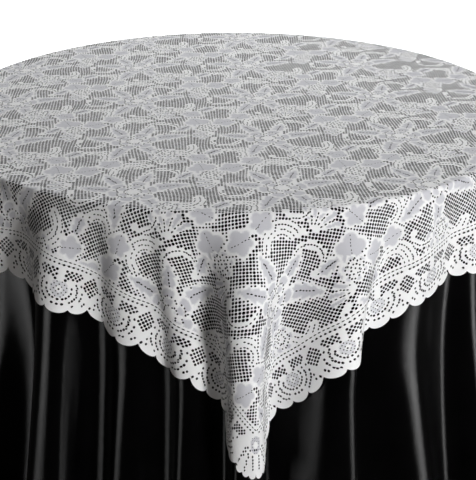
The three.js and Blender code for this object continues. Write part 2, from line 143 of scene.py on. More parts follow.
class Drape:
    """Where each point of the flat cloth lies once it hangs, by flat azimuth and depth below the edge.

    A fold rises from one valley and falls to the next. Each of its two flanks keeps its length along
    the cloth, and its slope follows a half wave of sine.
    """

    def __init__(self):
        bend = np.linspace(0, STEEPEST, STEEP_STEPS)
        along = np.linspace(0, 1, FLANK_STEPS)
        slope = bend[:, None] * np.sin(np.pi * along)
        self.across = running_sum(np.cos(slope), along[1])
        self.out = running_sum(np.sin(slope), along[1])
        self.bend_scale = 1 / bend[1]
        self.along_scale = 1 / along[1]
        self.bend = bend
        self.valleys, self.ridges, self.drifts = fold_layout()
        self.depth = np.arange(SKIRT_ROWS) * ROW_STEP
        self.flare = VALLEY_FLARE * (self.depth / SKIRT_DROP) ** 2
        self.azimuth = self.valleys[0] + np.linspace(0, 2 * np.pi, COLUMNS + 1)
        self.place = self.skirt()
        self.normal = self.normals()

    def fold_height(self, rising, falling, span):
        """Height of a fold whose two flanks fill the span between its valleys, row by row."""
        low = np.zeros(SKIRT_ROWS)
        high = TALLEST * np.minimum(rising, falling)
        for _ in range(HALVINGS):
            height = (low + high) / 2
            width = sum(flank * np.interp(height / flank, self.out[:, -1], self.across[:, -1])
                        for flank in (rising, falling))
            target = span * (TABLE_RADIUS + CLOTH_EASE + self.flare + 0.5 * height)
            wide = width > target
            low, high = np.where(wide, height, low), np.where(wide, high, height)
        return (low + high) / 2

    def flank_width(self, flank, height):
        """How wide a flank of the given length is from its valley to its ridge, row by row."""
        bend = np.interp(height / flank, self.out[:, -1], self.bend) * self.bend_scale
        return flank * table_value(self.across, bend, np.full(SKIRT_ROWS, FLANK_STEPS - 1.0))

    def skirt(self):
        """Points of the hanging part, row by row down from the edge and column by column round it."""
        s = self.depth
        spare = FULLNESS * (s - RELIEF * (1 - np.exp(-s / RELIEF)))
        radius = TABLE_RADIUS + spare
        drift = ease(np.minimum(s / DRIFT_DEPTH, 1))
        plan = np.zeros((SKIRT_ROWS, COLUMNS + 1))
        stand = np.zeros_like(plan)
        after = np.append(self.valleys[1:], self.valleys[0] + 2 * np.pi)
        drift_after = np.append(self.drifts[1:], self.drifts[0])
        for k, valley in enumerate(self.valleys):
            up, down = self.ridges[k] - valley, after[k] - self.ridges[k]
            start = valley + self.drifts[k] * drift
            span = after[k] + drift_after[k] * drift - start
            rising, falling = up * radius, down * radius
            height = self.fold_height(rising, falling, span)
            within = (self.azimuth >= valley - 1e-9) & (self.azimuth <= after[k] + 1e-9)
            columns = np.where(within)[0]
            q = self.azimuth[columns]
            first = q <= self.ridges[k]
            share = np.where(first, (q - valley) / up, (q - self.ridges[k]) / down).clip(0, 1)
            column = np.broadcast_to(share * self.along_scale, (SKIRT_ROWS, len(q)))
            flank = np.where(first, rising[:, None], falling[:, None])
            bend = np.interp(height[:, None] / flank, self.out[:, -1], self.bend) * self.bend_scale
            across = flank * table_value(self.across, bend, column)
            out = flank * table_value(self.out, bend, column)
            ridge_across = self.flank_width(rising, height)
            total = (ridge_across + self.flank_width(falling, height))[:, None]
            across = np.where(first, across, ridge_across[:, None] + across)
            out = np.where(first, out, height[:, None] - out)
            plan[:, columns] = start[:, None] + span[:, None] * across / total
            stand[:, columns] = out
        stand += self.crumple(stand) + self.flare[:, None]
        limit = STAND_LIMIT + STAND_LIMIT_DIAGONAL * np.sin(2 * plan) ** 4
        r = TABLE_RADIUS + CLOTH_EASE + stand / (1 + (stand / limit) ** 4) ** 0.25
        x, y = r * np.sin(plan), -r * np.cos(plan)
        dx, dy = np.gradient(x, ROW_STEP, axis=0), np.gradient(y, ROW_STEP, axis=0)
        fall = np.sqrt(np.clip(1 - dx ** 2 - dy ** 2, 0.25, 1))
        z = -running_sum(fall.T, ROW_STEP).T
        return np.stack([x, y, z + UNDERCLOTH_TOP - RIM_ROUND], -1)

    def crumple(self, stand):
        """Small uneven waves, stronger lower down and never inside the table's edge."""
        rng = np.random.default_rng(FOLD_SEED + 1)
        a, s = self.azimuth[None, :], self.depth[:, None]
        wave = np.zeros_like(stand)
        for count in CRUMPLE_WAVES:
            phase, tilt = rng.uniform(0, 2 * np.pi), rng.uniform(-1, 1)
            wander = 1.3 * np.sin(3 * a + phase)
            wave += np.sin(count * a + tilt * s * 6 + phase + wander) * (30 / count)
        return CRUMPLE * np.minimum(s / 0.25, 1.6) * (wave + 2.2)

    def normals(self):
        """Outward normals of the hanging part."""
        down = np.gradient(self.place, axis=0)
        side = np.gradient(self.place, axis=1)
        side[:, 0] = side[:, -1] = self.place[:, 1] - self.place[:, -2]
        normal = np.cross(side, -down)
        return normal / np.linalg.norm(normal, axis=-1, keepdims=True)

    def __call__(self, x, y, lift):
        """Flat points to hanging points, held off the cloth's own surface by lift."""
        flat = np.hypot(x, y)
        lift = np.broadcast_to(lift, flat.shape)
        azimuth = np.arctan2(x, -y)
        turn_start = TABLE_RADIUS + CLOTH_EASE - RIM_ROUND
        turn_length = RIM_ROUND * np.pi / 2
        turn = np.clip((flat - turn_start) / RIM_ROUND, 0, np.pi / 2)
        r = np.minimum(flat, turn_start) + (RIM_ROUND + lift) * np.sin(turn)
        z = UNDERCLOTH_TOP - RIM_ROUND + (RIM_ROUND + lift) * np.cos(turn)
        point = np.stack([r * np.sin(azimuth), -r * np.cos(azimuth), z], -1)
        depth = flat - turn_start - turn_length
        hangs = depth > 0
        row = depth[hangs] / ROW_STEP
        column = ((azimuth[hangs] - self.azimuth[0]) % (2 * np.pi)) * COLUMNS / (2 * np.pi)
        place = table_value(self.place, row, column)
        normal = table_value(self.normal, row, column)
        point[hangs] = place + normal * lift[hangs][:, None]
        return point


# ---------------------------------------------------------------- meshes
def make_mesh(name, points, quads, material, flat, tone=None):
    """A smooth-shaded object, with its flat cloth coordinates kept as a UV map and an attribute."""
    mesh = bpy.data.meshes.new(name)
    mesh.vertices.add(len(points))
    mesh.vertices.foreach_set("co", np.asarray(points, np.float32).ravel())
    mesh.loops.add(quads.size)
    mesh.loops.foreach_set("vertex_index", quads.astype(np.int32).ravel())
    mesh.polygons.add(len(quads))
    mesh.polygons.foreach_set("loop_start", np.arange(len(quads), dtype=np.int32) * 4)
    mesh.update(calc_edges=True)
    mesh.polygons.foreach_set("use_smooth", np.ones(len(quads), bool))
    span = np.abs(flat).max() * UV_SPAN
    layer = mesh.uv_layers.new(name="OFBake")
    layer.data.foreach_set("uv", (flat[quads.ravel()] / span + 0.5).astype(np.float32).ravel())
    spot = mesh.attributes.new("flat_cloth", "FLOAT_VECTOR", "POINT")
    spot.data.foreach_set("vector", np.c_[flat, np.zeros(len(flat))].astype(np.float32).ravel())
    if tone is not None:
        shade = mesh.attributes.new("tone", "FLOAT", "POINT")
        shade.data.foreach_set("value", tone.astype(np.float32))
    mesh.validate()
    thing = bpy.data.objects.new(name, mesh)
    bpy.context.scene.collection.objects.link(thing)
    mesh.materials.append(material)
    return thing


def ring_points(radii, azimuth):
    """Flat points on rings round the middle, ring by ring."""
    r, a = np.meshgrid(radii, azimuth, indexing="ij")
    return np.stack([r * np.sin(a), -r * np.cos(a)], -1).reshape(-1, 2)


def undercloth_mesh(drape, hanging, lying):
    """Rings of quads from a small centre patch out to the hem, then the hem turned up inside."""
    azimuth = np.linspace(0, 2 * np.pi, CLOTH_COLUMNS, endpoint=False)
    turn_start = TABLE_RADIUS + CLOTH_EASE - RIM_ROUND
    turn_end = turn_start + RIM_ROUND * np.pi / 2
    radii = np.concatenate([
        np.geomspace(CENTRE_PATCH, turn_start, TOP_RINGS),
        np.linspace(turn_start, turn_end, TURN_RINGS)[1:],
        np.linspace(turn_end, UNDERCLOTH_RADIUS, SKIRT_RINGS)[1:],
    ])
    cloth_flat = ring_points(radii, azimuth)
    cloth_points = drape(cloth_flat[:, 0], cloth_flat[:, 1], 0.0)
    hem_flat = ring_points(UNDERCLOTH_RADIUS - np.array(HEM_RINGS), azimuth)
    hem_points = drape(hem_flat[:, 0], hem_flat[:, 1], -HEM_GAP)
    rings = len(radii) + len(HEM_RINGS)
    grid = np.arange(rings * CLOTH_COLUMNS).reshape(rings, CLOTH_COLUMNS)
    near, far = grid[:-1], grid[1:]
    quads = np.stack([near, far, np.roll(far, -1, 1), np.roll(near, -1, 1)], -1).reshape(-1, 4)
    first = grid[0, ::2]
    middle = np.full_like(first, rings * CLOTH_COLUMNS)
    patch = np.stack([middle, first, grid[0, 1::2], np.roll(first, -1)], -1)
    centre_flat = np.zeros((1, 2))
    centre_point = drape(centre_flat[:, 0], centre_flat[:, 1], 0.0)
    points = np.vstack([cloth_points, hem_points, centre_point])
    flat = np.vstack([cloth_flat, hem_flat, centre_flat])
    quads = np.vstack([quads, patch])
    cloth = make_mesh("black_undercloth", points, quads, hanging, flat)
    cloth.data.materials.append(lying)
    on_table = np.hypot(flat[:, 0], flat[:, 1])[quads].max(1) <= turn_start + 1e-6
    cloth.data.polygons.foreach_set("material_index", on_table.astype(np.int32))
    return cloth


# ---------------------------------------------------------------- the lace pattern, flat
CELL = 0.0074                   # one mesh of the net
HALF_CELL = CELL / 2
TILE = 44 * CELL                # the pattern repeats after this many meshes
ROSE = (0.066, 0.022)           # where one rose lies from the middle of the cloth
NET_HOLE = 0.0032               # radius of a mesh in the open net
SMALL_HOLE = 0.0023
HOLE_SPREAD = 0.10              # how unlike the meshes are in size
HOLE_DRIFT = 0.00022            # and in place
SLIT = (0.0031, 0.0017)         # half length and half width of a slit beside a vein
SHEER, PLAIN, SOLID = 0.1, 0.7, 1.0         # how dense the thread looks
OUTLINE, OUTLINE_FADE = 0.0045, 0.005       # dense edge of a leaf, and how fast it turns sheer
SHEER_MESHES = 170.0            # fine net: waves per metre over pi
FANS = 12                       # fans along the straight part of one side
BORDER = 0.112                  # flat depth of the border
LOBES = 3                       # scallops in one fan
SCALLOP = 0.0128                # depth of the notch between two scallops
FAN_NOTCH = 0.0135              # and how much deeper it is between two fans
LINE_INSET, LINE_HOLE = 0.004, (0.0031, 0.0026)      # line of holes just inside the border
ROPE_OFFSET, ROPE_HOLE = 0.005, (0.0047, 0.0014)     # row of slits just outside it
ROPE_WIDTH = 0.012
EYE_DEPTH = 0.054               # flat depth of a fan's eye
EYE_NET, EYE_NET_HOLE, EYE_NET_TONE = 0.0185, 0.0015, 0.35    # sheer net round that eye
EYE_DOT = 0.0065
ARC_RADII, ARC_HOLE = (0.0250, 0.0370, 0.0490), (0.0032, 0.0027)
STROKE_OFFSETS, STROKE_HOLE = (0.0, 0.0120), (0.0031, 0.0025)
OVAL = (0.020, 0.074, 0.027)    # half width, depth and half length of an oval between fans
CORNER_EYE = 0.150              # where the corner's rays meet, from the tip
CORNER_OVAL = (0.019, 0.128, 0.024)
CORNER_NET_HOLE, RAY_HOLE = 0.0012, 0.0028
RAY_ANGLES = (0.17, 0.50, 0.83)
RAY_REACH = (0.030, 0.105)
MAPLE_POINTS = 5
MAPLE_VEIN = (0.0026, 0.0010)
SWIRL_STRANDS, SWIRL_GAP = 4, 0.0115
TINY = 1e-6                     # keeps a divisor off zero
LACE_RIM = 1.3 * CELL           # no holes this close to the edge


class Stitches:
    """What is worked at each of a set of points: thread density, and hole size and direction."""

    def __init__(self, x, y):
        self.x, self.y = x, y
        self.density = np.full(x.shape, PLAIN)
        self.long = np.full(x.shape, NET_HOLE)
        self.wide = np.full(x.shape, NET_HOLE)
        self.angle = np.zeros(x.shape)
        self.shift = np.zeros(x.shape + (2,))

    def fill(self, where, density):
        self.density = np.where(where, density, self.density)
        self.long = np.where(where, 0, self.long)
        self.wide = np.where(where, 0, self.wide)

    def soften(self, where, inset):
        """Dense at an outline, easing to sheer as the inset from that outline grows."""
        part = ease(np.clip((inset - OUTLINE) / OUTLINE_FADE, 0, 1))
        self.density = np.where(where, SOLID + (SHEER - SOLID) * part, self.density)

    def pierce(self, where, size, angle=0.0, offset=None, direction=None):
        """Holes where asked, moved by the offset along the direction onto the line they follow."""
        length, width = size if isinstance(size, tuple) else (size, size)
        self.long = np.where(where, length, self.long)
        self.wide = np.where(where, width, self.wide)
        self.angle = np.where(where, angle, self.angle)
        if offset is not None:
            step = np.clip(offset, -0.3 * CELL, 0.3 * CELL)[..., None] * np.stack(direction, -1)
            self.shift = np.where(where[..., None], step, self.shift)

    def loosen(self):
        """No two meshes of a real net are quite alike."""
        rng = np.random.default_rng(FOLD_SEED + 2)
        size = 1 + HOLE_SPREAD * rng.uniform(-1, 1, self.long.shape)
        self.long, self.wide = self.long * size, self.wide * size
        self.shift = self.shift + HOLE_DRIFT * rng.uniform(-1, 1, self.shift.shape)


def around(value, centre):
    """Distance from the nearest repeat of centre."""
    return (value - centre + TILE / 2) % TILE - TILE / 2


def local(stitches, centre, turn):
    """Coordinates in a motif's own frame."""
    dx = around(stitches.x, centre[0] + ROSE[0])
    dy = around(stitches.y, centre[1] + ROSE[1])
    c, s = math.cos(turn), math.sin(turn)
    return dx * c + dy * s, dy * c - dx * s


def leaf(stitches, centre, turn, length, width, teeth=5):
    """A serrated leaf with a dense outline, a sheer middle and slits along its vein."""
    turn = math.radians(turn)
    u, v = local(stitches, centre, turn)
    along = u / length
    inside_length = (along > 0) & (along < 1)
    a = np.clip(along, 0, 1)
    profile = 0.46 * width * np.sin(np.pi * a ** 0.72) ** 0.8
    profile = profile * (1.1 - 0.32 * ((teeth * a) % 1.0))
    inside = inside_length & (np.abs(v) < profile)
    stitches.fill(inside, SOLID)
    stitches.soften(inside, np.minimum(profile - np.abs(v), np.minimum(u, length - u) * 0.6))
    vein = inside & (np.abs(v) < HALF_CELL) & (a > 0.08) & (a < 0.7)
    stitches.pierce(vein, SLIT, turn, -v, (-np.sin(turn) + 0 * v, np.cos(turn) + 0 * v))
    hem = inside_length & (np.abs(np.abs(v) - profile - 0.2 * CELL) < HALF_CELL) & (a > 0.25)
    stitches.pierce(hem, SMALL_HOLE)


def maple(stitches, centre, turn, radius):
    """A broad lobed leaf, longer towards its tip, with a dense toothed outline round a sheer middle."""
    turn = math.radians(turn)
    u, v = local(stitches, centre, turn)
    r, a = np.hypot(u, v), np.arctan2(v, u)
    lobe = np.abs(np.cos(MAPLE_POINTS * a / 2))
    edge = radius * (0.66 + 0.22 * lobe + 0.16 * np.cos(a))
    stitches.fill(r < edge, SOLID)
    stitches.soften(r < edge, edge - r)
    stitches.pierce((np.abs(r - edge - 0.3 * CELL) < HALF_CELL) & (u > 0), SMALL_HOLE)
    across = (-np.sin(turn) + 0 * v, np.cos(turn) + 0 * v)
    vein = (r < edge * 0.8) & (np.abs(v) < HALF_CELL)
    stitches.pierce(vein, MAPLE_VEIN, turn, -v, across)


def rose(stitches, centre, turn, radius):
    """Rings of petals, each sheer inside its own dense rim and parted by small holes, round an eye."""
    turn = math.radians(turn)
    u, v = local(stitches, centre, turn)
    r, a = np.hypot(u, v), np.arctan2(v, u)
    outward = (np.cos(a + turn), np.sin(a + turn))
    for size, petals, phase in ((1.0, 6, 0.0), (0.66, 5, 0.5), (0.34, 4, 0.2)):
        lobe = np.abs(np.cos(petals * a / 2 + phase))
        edge = radius * size * (0.76 + 0.24 * lobe ** 0.7)
        stitches.fill(r < edge, SOLID)
        petal = np.minimum(edge - r, r * (lobe - 0.25) / petals * 2)
        stitches.soften(r < edge, petal * 1.5)
        rim = (np.abs(r - edge) < 0.55 * CELL) & (size < 1)
        stitches.pierce(rim, SMALL_HOLE, 0.0, edge - r, outward)
        seam = np.abs(np.sin(petals * a / 2 + phase)) > 0.98
        stitches.pierce(seam & (r < edge * 0.95) & (r > edge * 0.6), SLIT, a + turn)
    stitches.fill(r < radius * 0.16, SOLID)
    stitches.pierce(r < 0.55 * CELL, SMALL_HOLE)


def scroll(stitches, centre, radius, start, sweep, width):
    """A tapering arc of dense thread with a line of small holes down its middle."""
    u, v = local(stitches, centre, math.radians(start))
    r, a = np.hypot(u, v), np.arctan2(v, u) % (2 * np.pi)
    share = a / math.radians(sweep)
    taper = width / 2 * (0.45 + 0.55 * np.sin(np.pi * np.clip(share, 0, 1)))
    inside = (share < 1) & (np.abs(r - radius) < taper)
    stitches.fill(inside, SOLID)
    knob = np.hypot(u - radius, v) < width * 0.62
    stitches.fill(knob, SOLID)
    facing = a + math.radians(start)
    line = inside & (np.abs(r - radius) < HALF_CELL) & (share > 0.12) & (share < 0.9)
    stitches.pierce(line, SLIT, facing + np.pi / 2, radius - r, (np.cos(facing), np.sin(facing)))


def shell(stitches, centre, turn, radius, rays=5, sweep=100):
    """A half-open flower: strokes that spread from one point, parted by rows of slits."""
    turn = math.radians(turn)
    u, v = local(stitches, centre, turn)
    r, a = np.hypot(u, v), np.arctan2(v, u)
    half = math.radians(sweep) / 2
    ray = (a / half + 1) / 2 * rays
    edge = radius * (0.82 + 0.18 * np.sin(np.pi * (ray % 1.0)))
    inside = (np.abs(a) < half) & (r < edge)
    stitches.fill(inside, SOLID)
    stitches.fill(inside & (r > radius * 0.45) & (np.abs(ray % 1.0 - 0.5) < 0.22), SHEER)
    off = ((ray + 0.5) % 1.0 - 0.5) * 2 * half / rays * r
    slits = inside & (np.abs(off) < HALF_CELL) & (r > radius * 0.28) & (r < edge * 0.93)
    across = (np.sin(a + turn), -np.cos(a + turn))
    stitches.pierce(slits, SLIT, a + turn, off, across)


def swirl(stitches, centre, turn, radius, sweep):
    """Strands that curl side by side, parted by lines of slits."""
    turn = math.radians(turn)
    u, v = local(stitches, centre, turn)
    r, a = np.hypot(u, v), np.arctan2(v, u) % (2 * np.pi)
    share = a / math.radians(sweep)
    lane = (r - radius * (1 - 0.25 * share)) / SWIRL_GAP
    last_lane = SWIRL_STRANDS - 0.5 - 1.6 * np.clip(share, 0, 1)
    inside = (share < 1) & (lane > -0.5) & (lane < last_lane)
    stitches.fill(inside, SOLID)
    off = (lane + 0.5) % 1.0 - 0.5
    outward = (np.cos(a + turn), np.sin(a + turn))
    line = inside & (np.abs(off * SWIRL_GAP) < 0.9 * HALF_CELL) & (share > 0.06) & (share < 0.94)
    stitches.pierce(line, SLIT, a + turn + np.pi / 2, -off * SWIRL_GAP, outward)


def field_pattern(stitches):
    """The flowers, leaves and scrolls that repeat over the middle of the lace."""
    shell(stitches, (0.060, -0.170), 70, 0.066, 5, 110)
    shell(stitches, (-0.128, 0.052), 190, 0.060, 4)
    swirl(stitches, (-0.010, 0.118), 30, 0.030, 170)
    swirl(stitches, (0.112, -0.052), 200, 0.026, 200)
    swirl(stitches, (-0.096, -0.104), 300, 0.024, 190)
    scroll(stitches, (0.066, 0.092), 0.038, -40, 235, 0.017)
    scroll(stitches, (-0.104, -0.006), 0.034, 150, 215, 0.016)
    scroll(stitches, (0.020, -0.112), 0.030, 210, 240, 0.015)
    leaf(stitches, (-0.020, -0.034), -112, 0.100, 0.052)
    leaf(stitches, (0.024, -0.030), -70, 0.090, 0.048)
    leaf(stitches, (0.036, 0.014), 14, 0.104, 0.054)
    leaf(stitches, (-0.036, 0.010), 164, 0.092, 0.050)
    leaf(stitches, (-0.020, 0.036), 122, 0.092, 0.050)
    leaf(stitches, (0.018, 0.040), 70, 0.078, 0.046, 4)
    leaf(stitches, (0.096, 0.066), 48, 0.074, 0.042, 4)
    leaf(stitches, (-0.116, -0.066), 218, 0.072, 0.042, 4)
    maple(stitches, (0.158, 0.128), 110, 0.046)
    maple(stitches, (-0.060, -0.158), 50, 0.037)
    maple(stitches, (-0.098, 0.136), 200, 0.040)
    maple(stitches, (0.142, -0.118), -30, 0.036)
    rose(stitches, (0.0, 0.0), 12, 0.060)
    rose(stitches, (0.074, -0.092), 40, 0.036)
    rose(stitches, (-0.150, 0.092), 70, 0.033)


def border_place(x, y):
    """Where a flat point lies in the border, and how wide one fan is.

    Its depth is taken from the edge's base line, its place runs from -0.5 to 0.5 along one fan, and
    rounded says whether it is on a corner.
    """
    across = LACE_HALF - (np.abs(x) + np.abs(y)) / math.sqrt(2)
    along = np.abs(np.abs(x) - np.abs(y)) / math.sqrt(2)
    beyond = LACE_HALF - along
    straight = LACE_HALF - LACE_CORNER_ROUND
    rounded = (beyond < LACE_CORNER_ROUND) & (across < LACE_CORNER_ROUND)
    reach = np.hypot(LACE_CORNER_ROUND - across, LACE_CORNER_ROUND - beyond)
    depth = np.where(rounded, LACE_CORNER_ROUND - reach, across)
    fan_width = 2 * straight / FANS
    place = (along / fan_width) % 1.0 - 0.5
    angle = np.arctan2(LACE_CORNER_ROUND - beyond,
                       np.maximum(LACE_CORNER_ROUND - across, TINY))
    corner_place = 0.5 - angle / (np.pi / 2)
    return depth, np.where(rounded, corner_place, place), rounded, fan_width


def edge_depth(x, y):
    """Distance inside the scalloped edge, positive on the cloth."""
    depth, place, rounded, _ = border_place(x, y)
    lobe = np.where(rounded, 2 * LOBES, LOBES) * (place + 0.5)
    bulge = 1 - np.sqrt(np.clip(1 - (2 * (lobe % 1.0) - 1) ** 2, 0, 1))
    fan = np.where(rounded, 0.4, 1.0) * (2 * place) ** 2
    return depth - SCALLOP * bulge - FAN_NOTCH * fan


class Border:
    """Places in the border at each of a set of flat points, and the directions along it."""

    def __init__(self, x, y):
        self.depth, self.place, self.rounded, self.fan_width = border_place(x, y)
        self.band = (self.depth < BORDER) & ~self.rounded
        self.out = np.stack([np.sign(x), np.sign(y)], -1) / math.sqrt(2)
        sideways = np.where(np.abs(x) > np.abs(y), 1.0, -1.0)
        self.run = np.stack([np.sign(x), -np.sign(y)], -1) / math.sqrt(2) * sideways[..., None]
        self.run_angle = np.arctan2(self.run[..., 1], self.run[..., 0])


def border_pattern(stitches):
    """Fans round an eye, parted by ovals of net, under a line of holes along each side."""
    border = Border(stitches.x, stitches.y)
    stitches.fill(border.depth < BORDER, SOLID)
    border_lines(stitches, border)
    side_fans(stitches, border)
    side_ovals(stitches, border)
    corner_fan(stitches, border.depth)


def border_lines(stitches, border):
    """The line of holes along the inside of the border, and the row of slits beyond it."""
    outward = (border.out[..., 0], border.out[..., 1])
    off = border.depth - (BORDER - LINE_INSET)
    on_line = border.band & (np.abs(off) < 0.36 * CELL)
    stitches.pierce(on_line, LINE_HOLE, border.run_angle, off, outward)
    off = border.depth - BORDER - ROPE_OFFSET
    strip = (border.depth > BORDER) & (border.depth < BORDER + ROPE_WIDTH)
    stitches.fill(~border.rounded & strip, SOLID)
    rope = ~border.rounded & (np.abs(off) < 0.36 * CELL)
    stitches.pierce(rope, ROPE_HOLE, border.run_angle, off, outward)


def side_fans(stitches, border):
    """Checkered holes over an eye in sheer net, and arcs of holes that spread below it."""
    band, depth, out, run = border.band, border.depth, border.out, border.run
    u = np.where(border.rounded, 0.0, border.place * border.fan_width)    # along the side
    v = EYE_DEPTH - depth                                                 # outward from the eye
    r, a = np.hypot(u, v), np.arctan2(u, v)
    checker = band & (depth > 0.070) & (depth < 0.098) & (np.abs(u) < 0.048) & (np.abs(u) > 0.006)
    checker &= (depth - 0.070) > 0.25 * np.abs(u)
    stitches.fill(checker, PLAIN)
    stitches.pierce(checker, NET_HOLE)
    sheer = band & (r < EYE_NET) & (depth < 0.070)
    stitches.fill(sheer, EYE_NET_TONE)
    stitches.pierce(sheer, EYE_NET_HOLE)
    stitches.fill(band & (r < EYE_DOT), SOLID)
    stitches.pierce(band & (r < 0.5 * CELL), SMALL_HOLE)
    away_x = (out[..., 0] * v + run[..., 0] * u) / np.maximum(r, TINY)
    away_y = (out[..., 1] * v + run[..., 1] * u) / np.maximum(r, TINY)
    along_arc = np.arctan2(away_y, away_x) + np.pi / 2
    for radius in ARC_RADII:
        off = radius - np.hypot(u * 0.92, v * 1.12)
        arc = band & (np.abs(off) < 0.92 * HALF_CELL) & (np.abs(a) < 2.0)
        arc &= (depth > 0.013) & (depth < 0.078)
        stitches.pierce(arc, ARC_HOLE, along_arc, off, (away_x, away_y))


def side_ovals(stitches, border):
    """Ovals of net between the fans, with strokes of holes under each."""
    band, depth = border.band, border.depth
    w = (np.abs(border.place) - 0.5) * border.fan_width
    half_width, middle, half_length = OVAL
    oval = np.hypot(w / half_width, (depth - middle) / half_length)
    stitches.fill(band & (oval < 1.25), SOLID)
    stitches.fill(band & (oval < 0.78), PLAIN)
    stitches.pierce(band & (oval < 0.86), NET_HOLE)
    for offset in STROKE_OFFSETS:
        off = np.abs(w) - offset - 0.12 * (0.045 - depth)
        stroke = band & (np.abs(off) < 0.8 * HALF_CELL)
        stroke &= (depth > 0.016 + 0.5 * offset) & (depth < 0.042)
        stitches.pierce(stroke, STROKE_HOLE, border.run_angle + np.pi / 2)


def corner_fan(stitches, depth):
    """At each corner an oval with an eye, over rays of holes."""
    x, y = np.abs(stitches.x), np.abs(stitches.y)
    u = np.minimum(x, y)
    v = LACE_HALF * math.sqrt(2) - np.maximum(x, y)       # from the square's own tip
    zone = (v < 0.185) & (u < 0.075)
    r, a = np.hypot(u, CORNER_EYE - v), np.arctan2(u, CORNER_EYE - v)
    near, far = RAY_REACH
    plain = zone & (v < CORNER_EYE) & (u < 0.02 + 0.5 * v)
    stitches.fill(plain & (r < far), SOLID)
    half_width, middle, half_length = CORNER_OVAL
    oval = np.hypot(u / half_width, (v - middle) / half_length)
    stitches.fill(zone & (oval < 1.3), SOLID)
    stitches.fill(zone & (oval < 0.95), SHEER)
    stitches.pierce(zone & (oval < 0.95), CORNER_NET_HOLE)
    stitches.fill(zone & (oval < 0.4), SOLID)
    stitches.pierce(zone & (oval < 0.22), SMALL_HOLE)
    for ray in RAY_ANGLES:
        on_ray = zone & (r > near) & (r < far) & (np.abs((a - ray) * r) < 0.85 * HALF_CELL)
        stitches.pierce(on_ray & (depth > 0.013), RAY_HOLE)


def worked(x, y):
    """The whole pattern at a set of flat points."""
    stitches = Stitches(x, y)
    field_pattern(stitches)
    border_pattern(stitches)
    return stitches


def net_quads(corner_i, corner_j, size, open_cell):
    """Four faces for a closed cell and eight round the hole of an open one.

    The points are a square grid of half cells with size points along a side, followed by eight for
    each hole.
    """
    ring_i = np.array([0, 1, 2, 2, 2, 1, 0, 0])
    ring_j = np.array([0, 0, 0, 1, 2, 2, 2, 1])
    ring = (corner_i[:, None] + ring_i) * size + corner_j[:, None] + ring_j
    middle = (corner_i + 1) * size + corner_j + 1
    closed = ~open_cell
    closed_quads = np.concatenate([
        np.stack([ring[closed][:, a], ring[closed][:, b], middle[closed], ring[closed][:, c]], -1)
        for a, b, c in ((0, 1, 7), (2, 3, 1), (4, 5, 3), (6, 7, 5))])
    outer = ring[open_cell]
    hole = size * size + np.arange(outer.size).reshape(-1, 8)
    open_quads = np.stack([outer, np.roll(outer, -1, 1), np.roll(hole, -1, 1), hole], -1)
    return np.concatenate([closed_quads, open_quads.reshape(-1, 4)])


def hole_points(stitches, open_cell):
    """Eight points round each hole, in the same order as the corners and sides of its cell."""
    facing = np.radians([225, 270, 315, 0, 45, 90, 135, 180])
    turn = stitches.angle[open_cell][:, None]
    long, wide = stitches.long[open_cell][:, None], stitches.wide[open_cell][:, None]
    c, s = np.cos(facing - turn), np.sin(facing - turn)
    radius = long * wide / np.sqrt((wide * c) ** 2 + (long * s) ** 2)
    shift = stitches.shift[open_cell]
    hole_x = stitches.x[open_cell][:, None] + shift[:, :1] + radius * np.cos(facing)
    hole_y = stitches.y[open_cell][:, None] + shift[:, 1:] + radius * np.sin(facing)
    return hole_x.ravel(), hole_y.ravel()


def lace_place(drape, x, y):
    """Hanging points of the lace, pulled out of square in slow waves and turned on the table."""
    pulled_x = x + LACE_PULL * (np.sin(27 * y + 1.1) + 0.6 * np.sin(41 * (x - y)))
    pulled_y = y + LACE_PULL * (np.sin(24 * x + 0.4) + 0.6 * np.sin(38 * (x + y)))
    turned_x = pulled_x * math.cos(LACE_TURN) - pulled_y * math.sin(LACE_TURN)
    turned_y = pulled_x * math.sin(LACE_TURN) + pulled_y * math.cos(LACE_TURN)
    hang = np.clip((np.hypot(x, y) - TABLE_RADIUS) / LACE_HANG, 0, 1)
    sway = np.sin(x * 23 + 1.7 * np.sin(y * 17)) * np.cos(y * 29 + 1.1 * np.sin(x * 13))
    ripple = 0.5 + 0.5 * sway
    lift = LACE_LIFT + hang ** 1.5 * (LACE_LIFT_EDGE + LACE_RIPPLE * ripple) + hang * 0.001
    return drape(turned_x, turned_y, lift)


def lace_mesh(drape, material):
    """The net as real openings: faces round each hole, plain faces where the work is dense."""
    reach = int(LACE_HALF * math.sqrt(2) / CELL) + 2
    cells = np.arange(-reach, reach)
    ci, cj = [grid.ravel() for grid in np.meshgrid(cells, cells, indexing="ij")]
    centre_x, centre_y = (ci + 0.5) * CELL, (cj + 0.5) * CELL
    near = edge_depth(centre_x, centre_y) > -CELL
    ci, cj, centre_x, centre_y = ci[near], cj[near], centre_x[near], centre_y[near]
    stitches = worked(centre_x, centre_y)
    stitches.loosen()
    open_cell = (stitches.long > 0) & (edge_depth(centre_x, centre_y) >= LACE_RIM)

    size = 4 * reach + 1                         # half-cell points along one side of the grid
    quads = net_quads(2 * (ci + reach), 2 * (cj + reach), size, open_cell)
    grid_line = (np.arange(size) - 2 * reach) * HALF_CELL
    grid_x, grid_y = [grid.ravel() for grid in np.meshgrid(grid_line, grid_line, indexing="ij")]
    hole_x, hole_y = hole_points(stitches, open_cell)
    x, y = np.concatenate([grid_x, hole_x]), np.concatenate([grid_y, hole_y])

    inside = edge_depth(x, y)
    quads = quads[(inside[quads] > -0.6 * HALF_CELL).all(1)]
    x, y = trim_to_edge(x, y, quads, inside)
    used, quads = np.unique(quads, return_inverse=True)
    quads = quads.reshape(-1, 4)
    x, y = x[used], y[used]
    density = worked(x, y).density
    flat = np.stack([x, y], -1)
    return make_mesh("white_lace", lace_place(drape, x, y), quads, material, flat, tone=density)


